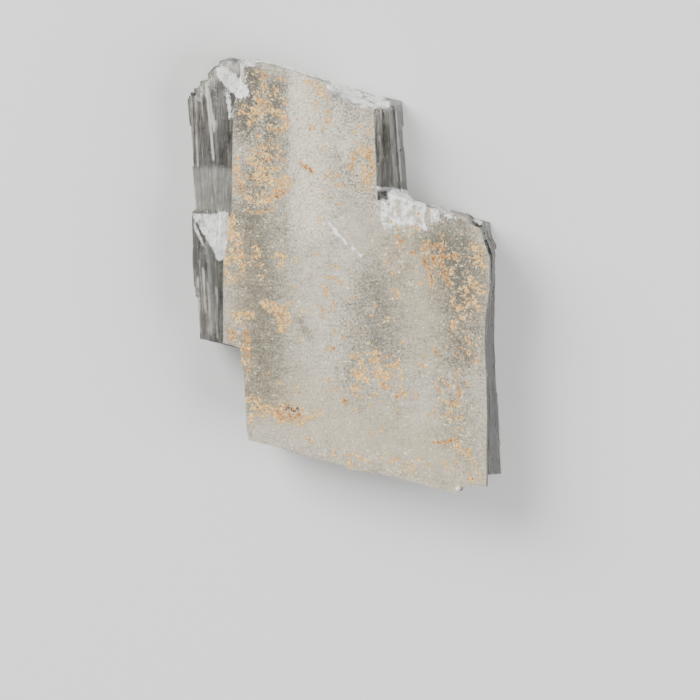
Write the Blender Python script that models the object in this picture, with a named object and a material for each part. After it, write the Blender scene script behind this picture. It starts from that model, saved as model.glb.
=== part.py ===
"""Optical calcite: one cleavage plate, lying on its back face with its weathered front face up.

Calcite splits along three sets of planes. The back face and the terraces follow the first set,
the sides and every ledge on them follow the other two. So the plate is built the way it splits:
thin sheets with leaning sides are stacked and joined in one solid, then blocks that have split
away and chips that have broken off are cut from it.

Frame: +Z up, +X to the plate's right, +Y to its head. The origin is the middle of the plate's
outline, on the surface that it lies on.
"""

import math
import random
from collections import namedtuple

import bmesh
import bpy
from mathutils import Matrix, Vector, noise

MM = 0.001
NODE_NAME = "calcite"

# The cleavage directions.
RHOMB_ANGLE = math.radians(101.9)  # blunt angle between two edges of a calcite rhomb
ROW_FALL = math.radians(14.2)  # how far the plate's rows fall from +X
COLUMN_TILT = math.radians(3.7)  # how far its columns tilt left of +Y
ROW = Vector((math.cos(ROW_FALL), -math.sin(ROW_FALL)))
COLUMN = Vector((-math.sin(COLUMN_TILT), math.cos(COLUMN_TILT)))

# Heights of the sheets above the back face.
TERRACE_HEIGHT = 7.0 * MM
PLATE_THICKNESS = 10.0 * MM
BODY_LEVELS = [0.0, 1.6 * MM, 4.3 * MM, TERRACE_HEIGHT]
FRONT_LEVELS = [TERRACE_HEIGHT, 8.7 * MM, PLATE_THICKNESS]
SHEET_OVERLAP = 0.03 * MM
LEDGE = 0.12 * MM  # how far a sheet's side may stand in or out of its neighbours'
LEDGE_SEED = 11

# The outline at the back face, clockwise from the left side's head end: x and y in millimetres, and
# how upright the side is there, from 0, a clean cleavage plane, to 1, broken straight up.
BODY_OUTLINE = [
    (-23.8, 32.4, 0),
    (-20.6, 35.4, 0.6),
    (-16.0, 35.0, 0.9),
    (-13.5, 34.0, 1),
    (-8.8, 32.6, 1),
    (-2.4, 30.7, 0.7),
    (1.1, 30.0, 0),
    (4.8, 28.8, 0),
    (9.1, 27.9, 0),
    (10.2, 12.6, 0),
    (10.9, 11.5, 0.9),
    (18.7, 9.7, 0.9),
    (23.3, 8.4, 0.2),
    (23.6, 5.7, 0.2),
    (24.1, 4.7, 0.5),
    (23.9, -2.4, 0.6),
    (23.8, -10.9, 0.6),
    (24.5, -20.4, 0.4),
    (25.2, -31.7, 0),
    (20.4, -32.4, 0),
    (6.9, -29.2, 0),
    (1.2, -28.2, 0),
    (-12.7, -24.4, 0),
    (-13.0, -19.8, 0),
    (-13.8, -15.0, 0),
    (-14.2, -10.1, 0),
    (-21.6, -8.4, 0),
    (-22.4, 3.9, 0),
    (-22.4, 11.4, 0),
]

# The front sheets' outline, given in the same way but where it is seen: at the front face.
FRONT_OUTLINE = [
    (-16.6, 34.0, 1),
    (-13.6, 34.1, 1),
    (-8.8, 32.9, 1),
    (-2.5, 30.9, 1),
    (-2.0, 28.3, 0),
    (1.4, 27.2, 0),
    (4.6, 26.4, 0),
    (5.1, 13.6, 0),
    (5.2, 11.8, 0),
    (6.7, 11.6, 0),
    (6.8, 13.2, 0),
    (10.0, 12.2, 0.6),
    (11.0, 11.6, 1),
    (17.8, 10.0, 1),
    (19.5, 9.5, 0.8),
    (20.2, 8.1, 0),
    (21.6, 7.4, 0),
    (22.2, 5.4, 0),
    (23.1, 3.0, 0),
    (23.0, -2.4, 0),
    (22.3, -7.0, 0),
    (22.2, -11.2, 0),
    (22.6, -20.0, 0),
    (22.5, -33.9, 0),
    (21.0, -33.5, 0),
    (20.2, -33.9, 0),
    (18.6, -34.0, 0),
    (18.1, -34.9, 0),
    (4.1, -31.5, 0),
    (-1.6, -30.6, 0),
    (-15.5, -26.7, 0),
    (-16.2, -21.6, 0),
    (-16.6, -17.3, 0),
    (-16.8, -11.6, 0),
    (-19.5, -10.8, 0),
    (-19.4, 2.1, 0),
    (-18.7, 9.2, 0),
    (-18.1, 9.8, 0),
    (-18.0, 18.0, 0),
    (-17.8, 26.4, 0),
    (-17.2, 30.4, 0),
]

# The flight of narrow steps down the left side, from its outer edge to the front sheets.
FLIGHT_LEFT = -22.9 * MM  # along the rows
FLIGHT_RIGHT = -18.3 * MM
FLIGHT_FOOT = 6.2 * MM  # along the columns
FLIGHT_STEPS = 7
FLIGHT_LOWEST = 5.1 * MM
FLIGHT_SEED = 5

# Blocks that have split away: from and to along the rows, along the columns and in height, in
# millimetres. A block can only split off at an edge, so each one reaches beyond the plate there.
BEYOND = 40.0
LOST_BLOCKS = {
    "left_nick_low": (-BEYOND, -22.95, 0.3, 3.4, 4.9, BEYOND),
    "left_nick_foot": (-BEYOND, -23.0, -8.4, -5.9, 3.4, BEYOND),
    "left_nick_high": (-BEYOND, -22.55, 13.0, 19.5, 4.3, BEYOND),
    "foot_corner": (22.2, BEYOND, -BEYOND, -26.0, -BEYOND, 3.2),
    "foot_back_edge": (-3.5, 13.0, -BEYOND, -27.1, -BEYOND, 2.4),
    "foot_left_corner": (-BEYOND, -10.4, -BEYOND, -27.3, -BEYOND, 4.3),
    "back_flake_left": (-BEYOND, -19.4, -BEYOND, 4.0, -BEYOND, 0.5),
    "back_flake_head": (-BEYOND, -12.0, 26.5, BEYOND, -BEYOND, 0.9),
    "back_flake_head_thin": (-BEYOND, -4.5, 24.1, BEYOND, -BEYOND, 0.4),
    "back_flake_foot": (15.2, BEYOND, -BEYOND, -19.5, -BEYOND, 0.6),
    "back_flake_right": (20.9, BEYOND, -BEYOND, -3.0, -BEYOND, 0.3),
}

# Where the foot's right corner broke off across the cleavage, straight up: its outline in plan.
BROKEN_CORNER = [(22.55, -31.95), (30.0, -31.7), (30.0, -40.0), (22.55, -40.0)]

# Where the head's left corner broke off in small stairs, straight up: its outline in plan, and the
# height and setback of each lot of stairs, in millimetres. The setback fades to the right.
STAIRS = [
    (-24.3, 29.4),
    (-24.2, 29.9),
    (-23.8, 29.9),
    (-23.2, 30.2),
    (-23.2, 31.0),
    (-22.0, 31.4),
    (-22.0, 32.2),
    (-21.4, 32.8),
    (-20.8, 33.5),
    (-20.3, 33.6),
    (-20.1, 34.3),
    (-19.0, 34.6),
    (-18.4, 34.8),
    (-17.2, 34.6),
    (-16.1, 34.4),
    (-14.5, 34.2),
]
STAIR_LOTS = [(-1.0, 0.0), (1.9, 0.25), (3.8, 0.8), (4.5, 1.2), (6.2, 1.9)]
STAIR_SETBACK = Vector((0.55, -0.83))
STAIR_WOBBLE = 0.3
STAIR_SEED = 4

# Ledges that still stand out of the right side, given as the lost blocks are.
STANDING_BLOCKS = {
    "right_ledge_head": (20.0, 24.8, 4.0, 11.3, 0.3, 4.6),
    "right_ledge_middle": (20.0, 24.4, -6.5, 4.6, 0.3, 3.1),
}

# The plate's sides, each with the plane that it follows across the rows or the columns, which way
# is out, where it starts and ends (all in millimetres), how upright it is, and whether small blocks
# are also lost along its front edge.
Side = namedtuple("Side", "across plane outward start end upright front_edge")
SIDES = {
    "left": Side("row", -23.0, -1, -13.0, 24.0, 0, True),
    "left_low": Side("row", -15.2, -1, -28.0, -14.5, 0, True),
    "foot": Side("column", -28.0, -1, -14.0, 23.0, 0, True),
    "right_low": Side("row", 24.4, 1, -25.0, -8.0, 0.4, False),
    "right_high": Side("row", 25.3, 1, 4.0, 10.5, 0.4, False),
    "step": Side("column", 14.7, 1, 12.0, 24.0, 0.8, False),
    "right_head": Side("row", 11.5, 1, 16.0, 29.5, 0, False),
    "head": Side("column", 30.9, 1, -15.0, 10.5, 0.6, False),
}

# The small blocks lost at random along the sides' back and front edges, each from least to most.
SPACING = 6.2 * MM  # between the blocks' middles
BLOCK_LENGTH = (2.5 * MM, 12.0 * MM)
BLOCK_DEPTH = (0.06 * MM, 0.34 * MM)
BACK_EDGE_HEIGHT = (0.6 * MM, 4.0 * MM)
FRONT_EDGE_HEIGHT = (3.8 * MM, 6.6 * MM)
SIDES_SEED = 23

# Chips: scoops where the crystal broke across its cleavage. Each has the middle and radii of the
# ellipsoid that it follows, in millimetres.
CHIPS = {
    "head_left_bruise": ((-20.8, 31.6, 12.2), (5.2, 6.4, 5.0)),
    "terrace_fan": ((-21.9, 8.2, 9.0), (3.6, 6.8, 2.5)),
    "right_head_scoop": ((6.1, 22.6, 9.2), (1.3, 6.6, 3.1)),
    "step_scoop": ((12.0, 15.6, 9.4), (4.4, 4.0, 3.8)),
    "right_corner": ((24.9, 10.4, 8.4), (3.3, 3.0, 4.0)),
    "foot_right_tip": ((19.6, -36.4, 9.4), (2.1, 2.2, 3.2)),
}
CHIP_FACETS = 3  # subdivisions of the ball that a chip is cut with
CHIP_ROUGHNESS = 0.07


def edge_lean():
    """Sideways run of the upright set of edges for each unit of height.

    The unit edge makes the blunt rhomb angle with both rows and columns.
    """
    sideways = Matrix((ROW, COLUMN)).inverted() @ Vector((1.0, 1.0)) * math.cos(RHOMB_ANGLE)
    return sideways / math.sqrt(1.0 - sideways.length_squared)


LEAN = edge_lean()


def raised(plan, height):
    """The point at this height on the upright edge that starts at a point of the back face's plane."""
    return Vector((*(plan + LEAN * height), height))


def clear_scene():
    for obj in list(bpy.data.objects):
        bpy.data.objects.remove(obj)


def calcite_material():
    material = bpy.data.materials.new("clear_calcite")
    material.use_nodes = True
    shader = material.node_tree.nodes["Principled BSDF"]
    shader.inputs["Base Color"].default_value = (0.62, 0.60, 0.54, 1.0)
    shader.inputs["Roughness"].default_value = 0.25
    shader.inputs["Metallic"].default_value = 0.0
    shader.inputs["IOR"].default_value = 1.658
    return material


def add_object(name, mesh):
    obj = bpy.data.objects.new(name, mesh)
    bpy.context.scene.collection.objects.link(obj)
    return obj


def prism(name, plan, low, high, upright=0):
    """A solid over a plan outline, its sides leaning with the upright set of edges or straight up."""
    mesh = bpy.data.meshes.new(name)
    bm = bmesh.new()
    foot = [bm.verts.new(raised(point - LEAN * (low * upright), low)) for point in plan]
    head = [bm.verts.new(raised(point - LEAN * (high * upright), high)) for point in plan]
    bm.faces.new(foot)
    bm.faces.new(head)
    for i in range(len(plan)):
        j = (i + 1) % len(plan)
        bm.faces.new((foot[i], foot[j], head[j], head[i]))
    bmesh.ops.recalc_face_normals(bm, faces=bm.faces)
    bm.to_mesh(mesh)
    bm.free()
    return add_object(name, mesh)


def rhomb(name, row_from, row_to, column_from, column_to, low, high, upright=0):
    """A block over a rhomb of the rows and columns, with all six faces on cleavage planes if it leans."""
    corners = ((row_from, column_from), (row_from, column_to), (row_to, column_to), (row_to, column_from))
    plan = [ROW * along_row + COLUMN * along_column for along_row, along_column in corners]
    return prism(name, plan, low, high, upright)


def chip(name, middle, radii, rng):
    """A faceted ball with an uneven surface, to cut a shell-shaped break."""
    bm = bmesh.new()
    bmesh.ops.create_icosphere(bm, subdivisions=CHIP_FACETS, radius=1.0)
    place = Vector([rng.uniform(-9, 9) for _ in range(3)])
    for vert in bm.verts:
        vert.co *= 1.0 + CHIP_ROUGHNESS * noise.noise(vert.co * 2.6 + place)
        vert.co = Vector([m * MM + r * MM * c for m, r, c in zip(middle, radii, vert.co)])
    mesh = bpy.data.meshes.new(name)
    bm.to_mesh(mesh)
    bm.free()
    return add_object(name, mesh)


def shifted(plan, shifts):
    """The outline with each side moved out by its own amount, and the corners where they meet."""
    count = len(plan)
    along = [(plan[(i + 1) % count] - plan[i]).normalized() for i in range(count)]
    outward = [Vector((-d.y, d.x)) for d in along]
    corners = []
    for i in range(count):
        before, after = (i - 1) % count, i
        turn = along[before].cross(along[after])
        if abs(turn) < 0.3:
            middle = outward[before] * shifts[before] + outward[after] * shifts[after]
            corners.append(plan[i] + middle * 0.5)
            continue
        start = plan[i] + outward[before] * shifts[before]
        other = plan[i] + outward[after] * shifts[after]
        corners.append(start + along[before] * ((other - start).cross(along[after]) / turn))
    return corners


def sheets(name, levels, plan_at, rng):
    """One leaning prism between each two levels, with its sides a little in or out."""
    made = []
    for low, high in zip(levels, levels[1:]):
        plan = plan_at((low + high) / 2)
        shifts = [rng.uniform(-LEDGE, LEDGE) for _ in plan]
        foot = low - (SHEET_OVERLAP if low > 0 else 0)
        made.append(prism(f"{name}_{len(made)}", shifted(plan, shifts), foot, high))
    return made


def body_plan(height):
    """The body's outline in plan. Where a side is broken straight up, it doesn't lean."""
    return [Vector((x, y)) * MM - LEAN * (height * upright) for x, y, upright in BODY_OUTLINE]


def front_plan(height):
    """The front sheets' outline in plan, taken back down the lean from where it is seen."""
    plan = []
    for x, y, upright in FRONT_OUTLINE:
        run = PLATE_THICKNESS * (1 - upright) + height * upright
        plan.append(Vector((x, y)) * MM - LEAN * run)
    return plan


def flight_cutters(rng):
    """Cuts the left side down in steps that climb to the right."""
    cutters = []
    beyond = BEYOND * MM
    for step in range(FLIGHT_STEPS):
        share = step / FLIGHT_STEPS
        next_share = (step + 1) / FLIGHT_STEPS
        wobble = rng.uniform(-0.3, 0.3) / FLIGHT_STEPS
        row_to = FLIGHT_LEFT + (FLIGHT_RIGHT - FLIGHT_LEFT) * (next_share + wobble)
        height = FLIGHT_LOWEST + (TERRACE_HEIGHT - FLIGHT_LOWEST) * (share + rng.uniform(-0.05, 0.08))
        foot = FLIGHT_FOOT + rng.uniform(-0.1, 0.1) * MM
        cutters.append(rhomb(f"step_{step}", -beyond, row_to, foot, beyond, height, beyond))
    return cutters


def small_block(name, side, middle, rng, low, high):
    """A shallow block across one side's plane, to cut from its edge."""
    length = rng.uniform(*BLOCK_LENGTH)
    shallow, deep = BLOCK_DEPTH
    depth = shallow + (deep - shallow) * rng.random() ** 2
    plane = side.plane * MM
    inside_out = sorted((plane - side.outward * depth, plane + side.outward * 1.5 * MM))
    along = (middle - length / 2, middle + length / 2)
    ranges = (*inside_out, *along) if side.across == "row" else (*along, *inside_out)
    return rhomb(name, *ranges, low, high, side.upright)


def small_blocks(rng):
    """Blocks lost along the back edge of every side, and along the front edge of some."""
    cutters = []
    for name, side in SIDES.items():
        start, end = side.start * MM, side.end * MM
        count = max(2, round((end - start) / SPACING))
        for number in range(count):
            middle = start + (end - start) * (number + rng.uniform(0.1, 0.9)) / count
            back = rng.uniform(*BACK_EDGE_HEIGHT)
            cutters.append(small_block(f"{name}_back_{number}", side, middle, rng, -MM, back))
            if side.front_edge:
                middle = start + (end - start) * rng.random()
                front = rng.uniform(*FRONT_EDGE_HEIGHT)
                cutters.append(small_block(f"{name}_front_{number}", side, middle, rng, front, BEYOND * MM))
    return cutters


def broken_corner():
    plan = [Vector(point) * MM for point in BROKEN_CORNER]
    return prism("broken_corner", plan, -MM, PLATE_THICKNESS - 0.9 * MM, upright=1)


def stair_cutters(rng):
    """Cuts the head's left corner along its stairs, each lot higher up a little further in."""
    first, last = STAIRS[0], STAIRS[-1]
    outside = [Vector((last[0], BEYOND)), Vector((-BEYOND, BEYOND)), Vector((-BEYOND, first[1]))]
    cutters = []
    for number, (height, setback) in enumerate(STAIR_LOTS):
        plan = []
        for place, point in enumerate(STAIRS):
            fade = 1 - place / (len(STAIRS) - 1)
            wobble = setback * STAIR_WOBBLE * Vector((rng.uniform(-1, 1), rng.uniform(-1, 1)))
            plan.append(Vector(point) + (STAIR_SETBACK * setback + wobble) * fade)
        plan = [point * MM for point in plan + outside]
        cutters.append(prism(f"stairs_{number}", plan, height * MM, BEYOND * MM, upright=1))
    return cutters


def boolean(target, tools, operation):
    """Applies one Boolean with all the tools, then removes them."""
    collection = bpy.data.collections.new(operation)
    for tool in tools:
        collection.objects.link(tool)
    modifier = target.modifiers.new(operation, "BOOLEAN")
    modifier.operation = operation
    modifier.operand_type = "COLLECTION"
    modifier.collection = collection
    modifier.solver = "EXACT"
    graph = bpy.context.evaluated_depsgraph_get()
    target.data = bpy.data.meshes.new_from_object(target.evaluated_get(graph))
    target.modifiers.clear()
    for tool in tools:
        bpy.data.objects.remove(tool)


def millimetre_rhombs(blocks):
    return [rhomb(name, *(size * MM for size in sizes)) for name, sizes in blocks.items()]


def tidy_mesh(obj):
    """Merges the points that the Booleans left on top of each other and sets flat faces."""
    bm = bmesh.new()
    bm.from_mesh(obj.data)
    bmesh.ops.remove_doubles(bm, verts=bm.verts, dist=0.002 * MM)
    bmesh.ops.dissolve_limit(bm, angle_limit=math.radians(0.05), verts=bm.verts, edges=bm.edges)
    bmesh.ops.triangulate(bm, faces=bm.faces)
    bm.to_mesh(obj.data)
    bm.free()
    obj.data.shade_flat()


def build_calcite():
    rng = random.Random(LEDGE_SEED)
    stack = sheets("body", BODY_LEVELS, body_plan, rng)
    stack += sheets("front", FRONT_LEVELS, front_plan, rng)
    stack += millimetre_rhombs(STANDING_BLOCKS)
    calcite, rest = stack[0], stack[1:]
    calcite.name = NODE_NAME
    boolean(calcite, rest, "UNION")
    lost = flight_cutters(random.Random(FLIGHT_SEED)) + millimetre_rhombs(LOST_BLOCKS)
    lost += small_blocks(random.Random(SIDES_SEED)) + stair_cutters(random.Random(STAIR_SEED)) + [broken_corner()]
    boolean(calcite, lost, "DIFFERENCE")
    boolean(calcite, [chip(name, *sizes, rng) for name, sizes in CHIPS.items()], "DIFFERENCE")
    tidy_mesh(calcite)
    calcite.data.materials.clear()
    calcite.data.materials.append(calcite_material())
    return calcite


clear_scene()
build_calcite()
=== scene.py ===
# %% [markdown]
# # A plate of optical calcite
#
# Optical calcite is so clear that print can be read through it. This piece is a cleavage plate: it
# split out of a larger crystal along three sets of planes, so nearly every face follows one of them.
# Its front lay open to weather and is frosted, pitted and stained by iron. Its sides and its low
# terraces split later and are clear.
#
# The solid plate comes from model.glb. This lesson gives it a fine surface, paints where the frost,
# the white bruises and the stains lie, and mixes clear crystal, frost and stain in one material.

# %% Load the solid plate
import math

import bmesh
import bpy
import numpy as np
from mathutils import Matrix, Vector, noise


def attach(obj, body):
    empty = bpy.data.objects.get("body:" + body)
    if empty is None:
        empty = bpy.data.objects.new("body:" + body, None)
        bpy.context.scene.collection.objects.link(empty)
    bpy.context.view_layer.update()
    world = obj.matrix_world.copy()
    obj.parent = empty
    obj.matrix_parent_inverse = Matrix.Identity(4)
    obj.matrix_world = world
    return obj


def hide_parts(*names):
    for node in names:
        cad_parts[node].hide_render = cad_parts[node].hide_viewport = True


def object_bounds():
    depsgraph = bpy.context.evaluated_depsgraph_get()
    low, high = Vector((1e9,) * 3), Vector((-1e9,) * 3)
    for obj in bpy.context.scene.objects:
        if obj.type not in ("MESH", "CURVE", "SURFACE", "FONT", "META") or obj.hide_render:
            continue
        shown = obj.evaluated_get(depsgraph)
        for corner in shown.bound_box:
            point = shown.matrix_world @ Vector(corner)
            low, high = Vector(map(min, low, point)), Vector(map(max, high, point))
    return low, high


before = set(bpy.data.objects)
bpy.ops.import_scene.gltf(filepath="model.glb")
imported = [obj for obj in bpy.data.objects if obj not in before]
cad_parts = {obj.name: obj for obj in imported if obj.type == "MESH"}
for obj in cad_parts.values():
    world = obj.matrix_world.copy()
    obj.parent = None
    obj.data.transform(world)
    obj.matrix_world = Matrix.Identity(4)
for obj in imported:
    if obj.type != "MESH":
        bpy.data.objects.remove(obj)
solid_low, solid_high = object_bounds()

MM = 0.001
PLATE = "calcite"
plate_size = (solid_high - solid_low) / MM
print(f"solid plate: {plate_size.x:.1f} x {plate_size.y:.1f} x {plate_size.z:.1f} mm")

# %% [markdown]
# ## The crystal's own directions
#
# Every line on a split calcite crystal runs along one of three edge directions. Any two of them meet
# at 101.9 degrees. The rows and the columns lie in the front face. The third direction leans, so the
# plate's sides lean too. Cutting along these directions keeps each small ledge true to the crystal.

# %% Rows, columns and the leaning edge
RHOMB_ANGLE = math.radians(101.9)
ROW_FALL = math.radians(14.2)
COLUMN_TILT = math.radians(3.7)
ROW = Vector((math.cos(ROW_FALL), -math.sin(ROW_FALL)))
COLUMN = Vector((-math.sin(COLUMN_TILT), math.cos(COLUMN_TILT)))
sideways = Matrix((ROW, COLUMN)).inverted() @ Vector((1.0, 1.0)) * math.cos(RHOMB_ANGLE)
LEAN = sideways / math.sqrt(1.0 - sideways.length_squared)
UPRIGHT = Vector((*LEAN, 1.0)).normalized()
ACROSS_ROWS = Vector((*COLUMN, 0.0)).cross(UPRIGHT).normalized()
ACROSS_COLUMNS = Vector((*ROW, 0.0)).cross(UPRIGHT).normalized()
print(f"the sides lean {math.degrees(math.atan(LEAN.length)):.1f} degrees from upright")

# %% [markdown]
# ## Camera
#
# A flat specimen is shown best from straight above, through a very long lens, which keeps its
# leaning sides true. The picture is square. The plate lies in its upper part, as it would beside a
# scale on a museum's copy stand.

# %% Camera straight above
PICTURE_WIDTH = 112.0 * MM
PICTURE_MIDDLE = Vector((0.8, -12.0)) * MM
LENS = 900.0
SENSOR = 36.0
NEAREST_SEEN, FARTHEST_SEEN = 0.1, 10.0
camera_height = PICTURE_WIDTH * LENS / SENSOR
bpy.ops.object.camera_add(location=(*PICTURE_MIDDLE, camera_height), rotation=(0.0, 0.0, 0.0))
camera = bpy.context.object
camera.name = "camera"
camera.data.lens = LENS
camera.data.sensor_width = SENSOR
camera.data.clip_start = NEAREST_SEEN
camera.data.clip_end = FARTHEST_SEEN
bpy.context.scene.camera = camera
print(f"camera {camera_height:.2f} m above the floor")

# %% [markdown]
# ## Floor and light
#
# A pale matt floor and two wide soft lamps are enough for a clear crystal. The lamps stand low on
# either side, so the flat front doesn't mirror them at the camera, and its frost and ledges catch
# them instead. The floor lies a hair under the plate, because two faces in one plane would flicker.

# %% Pale floor
FLOOR_GAP = 0.05 * MM
FLOOR_RADIUS = 3.0
FLOOR_CORNERS = 96
FLOOR_COLOUR = (0.74, 0.735, 0.72, 1.0)
FLOOR_ROUGHNESS = 0.9
bpy.ops.mesh.primitive_circle_add(
    vertices=FLOOR_CORNERS, radius=FLOOR_RADIUS, fill_type="NGON", location=(0.0, 0.0, -FLOOR_GAP)
)
floor = bpy.context.object
floor.name = "floor"
floor_finish = bpy.data.materials.new("pale_floor")
floor_finish.use_nodes = True
floor_shader = floor_finish.node_tree.nodes["Principled BSDF"]
floor_shader.inputs["Base Color"].default_value = FLOOR_COLOUR
floor_shader.inputs["Roughness"].default_value = FLOOR_ROUGHNESS
floor.data.materials.append(floor_finish)
print(f"floor {2 * FLOOR_RADIUS:.0f} m across, {FLOOR_GAP / MM:.2f} mm under the plate")

# %% Two soft lamps and a dim room
LAMPS = {
    "key_lamp": {"place": (-0.75, 0.55, 0.62), "size": 0.7, "watts": 25.0},
    "fill_lamp": {"place": (0.85, -0.35, 0.60), "size": 0.8, "watts": 15.5},
}
for lamp_name, lamp_facts in LAMPS.items():
    place = Vector(lamp_facts["place"])
    facing = (-place).to_track_quat("-Z", "Y").to_euler()
    bpy.ops.object.light_add(type="AREA", location=place, rotation=facing)
    lamp = bpy.context.object
    lamp.name = lamp_name
    lamp.data.size = lamp_facts["size"]
    lamp.data.energy = lamp_facts["watts"]
    lamp.visible_camera = False

ROOM_COLOUR = (0.93, 0.96, 1.0, 1.0)
ROOM_STRENGTH = 0.5
room = bpy.data.worlds.new("room")
bpy.context.scene.world = room
room.use_nodes = True
room_light = room.node_tree.nodes["Background"]
room_light.inputs["Color"].default_value = ROOM_COLOUR
room_light.inputs["Strength"].default_value = ROOM_STRENGTH
print(f"lamps: {', '.join(LAMPS)}")

# %% [markdown]
# ## A fine surface for the crystal
#
# The solid has large flat faces, which can't hold small pits and ledges. So the plate is copied, its
# loose triangles are merged back into whole faces, and it is sliced along its own three directions,
# like a crystal under a cleaver. Every face but the flat underside is then divided once more. A remesh
# would give points just as close together, but it would round every sharp edge.

# %% Copy and merge
SLIVER = 0.01 * MM
FLAT = math.radians(0.05)
crystal = bpy.data.objects.new("calcite_crystal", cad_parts[PLATE].data.copy())
bpy.context.scene.collection.objects.link(crystal)
bpy.ops.object.select_all(action="DESELECT")
crystal.select_set(True)
bpy.context.view_layer.objects.active = crystal
bpy.ops.mesh.customdata_custom_splitnormals_clear()
bpy.ops.object.mode_set(mode="EDIT")
bpy.ops.mesh.select_all(action="SELECT")
bpy.ops.mesh.remove_doubles(threshold=SLIVER)
bpy.ops.mesh.dissolve_limited(angle_limit=FLAT)
bpy.ops.object.mode_set(mode="OBJECT")
print(f"merged plate: {len(crystal.data.polygons)} whole faces")

# %% Slice along the rows, the columns and the sheets
SLICE = 1.0 * MM
ON_PLANE = 0.001 * MM
MIDDLE = 0.5
PAST_HALF = 0.55
UP = Vector((0.0, 0.0, 1.0))


def slice_through(along, normal, start, end):
    """Cuts the whole mesh with planes of one normal, a slice apart, along a direction."""
    for number in range(int((end - start) / SLICE)):
        bpy.ops.mesh.select_all(action="SELECT")
        place = along * (start + SLICE * (number + MIDDLE))
        bpy.ops.mesh.bisect(plane_co=place, plane_no=normal, threshold=ON_PLANE)


half_width = plate_size.x * MM * PAST_HALF
half_length = plate_size.y * MM * PAST_HALF
bpy.ops.object.mode_set(mode="EDIT")
slice_through(Vector((*ROW, 0.0)), ACROSS_ROWS, -half_width, half_width)
slice_through(Vector((*COLUMN, 0.0)), ACROSS_COLUMNS, -half_length, half_length)
slice_through(UP, UP, solid_low.z, solid_high.z)
bpy.ops.mesh.select_mode(type="FACE")
bpy.ops.mesh.select_all(action="DESELECT")
bpy.ops.object.mode_set(mode="OBJECT")
print(f"sliced plate: {len(crystal.data.polygons)} faces")

# %% Divide all but the underside
FINER = 2
FACING_DOWN = -0.95
for face in crystal.data.polygons:
    face.select = face.normal.z > FACING_DOWN
bpy.ops.object.mode_set(mode="EDIT")
bpy.ops.mesh.subdivide(number_cuts=FINER)
bpy.ops.object.mode_set(mode="OBJECT")
triangles = sum(len(face.vertices) - 2 for face in crystal.data.polygons)
print(f"fine plate: {len(crystal.data.vertices)} points, {triangles} triangles")

# %% Check that it is closed
shell = bmesh.new()
shell.from_mesh(crystal.data)
open_edges = sum(not edge.is_manifold for edge in shell.edges)
print(f"open edges: {open_edges}, volume {shell.calc_volume() / MM**3 / 1000:.2f} cubic cm")
shell.free()

# %% [markdown]
# ## Which face is which
#
# A surface is frosted, clear or broken by what kind of face it is, and a change from one kind to the
# next is as sharp as the edge between them. So each face is sorted by its height and by whether its
# normal lies square to one of the cleavage planes.

# %% Sort the faces
ZONES = ("front", "terrace", "back", "side", "broken")
LEVEL = 0.95
CLEAVED = 0.985
FRONT_DEPTH = 0.4 * MM
FRONT_HEIGHT = solid_high.z - FRONT_DEPTH
mesh = crystal.data
face_count, point_count = len(mesh.polygons), len(mesh.vertices)
normals = np.zeros(face_count * 3, np.float32)
mesh.polygons.foreach_get("normal", normals)
normals = normals.reshape(-1, 3)
centres = np.zeros(face_count * 3, np.float32)
mesh.polygons.foreach_get("center", centres)
centres = centres.reshape(-1, 3)
points = np.zeros(point_count * 3, np.float32)
mesh.vertices.foreach_get("co", points)
points = points.reshape(-1, 3) / MM

cleaved = np.maximum(abs(normals @ np.array(ACROSS_ROWS)), abs(normals @ np.array(ACROSS_COLUMNS)))
zone = np.full(face_count, ZONES.index("broken"))
zone[cleaved > CLEAVED] = ZONES.index("side")
zone[normals[:, 2] < -LEVEL] = ZONES.index("back")
zone[normals[:, 2] > LEVEL] = ZONES.index("terrace")
zone[(normals[:, 2] > LEVEL) & (centres[:, 2] > FRONT_HEIGHT)] = ZONES.index("front")
for number, zone_name in enumerate(ZONES):
    print(f"{zone_name}: {(zone == number).sum()} faces")

# %% Share the zones with the points and find the sharp edges
corner_point = np.zeros(len(mesh.loops), np.int32)
mesh.loops.foreach_get("vertex_index", corner_point)
corners_of_face = np.zeros(face_count, np.int32)
mesh.polygons.foreach_get("loop_total", corners_of_face)
corner_face = np.repeat(np.arange(face_count), corners_of_face)
share = np.zeros((len(ZONES), point_count))
for number in range(len(ZONES)):
    here = corner_point[zone[corner_face] == number]
    share[number] = np.bincount(here, minlength=point_count)
share /= np.maximum(share.sum(axis=0), 1)
in_zone = dict(zip(ZONES, share))

SHARP = math.radians(24)
HOLLOW_EDGE = 0.3
on_edge = np.zeros(point_count)
shell = bmesh.new()
shell.from_mesh(mesh)
for edge in shell.edges:
    if edge.is_manifold and edge.calc_face_angle() > SHARP:
        for point in edge.verts:
            on_edge[point.index] = 1.0 if edge.is_convex else max(on_edge[point.index], HOLLOW_EDGE)
shell.free()
print(f"points on sharp edges: {int((on_edge == 1).sum())}")

# %% [markdown]
# ## Wear
#
# The relief is all inward, as real wear is: a faint swell and fluting on the front with etched pits,
# thin ledges on the sides, a hackly grain on what broke across the cleavage, and nibbled edges. It is
# painted as one vertex group and cut with one Displace modifier. A bump in the material would look
# the same from the front, but it would leave the outline too perfect. On the sides the wear fades out
# towards the top and the bottom, so the front and the back keep their outlines.

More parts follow.
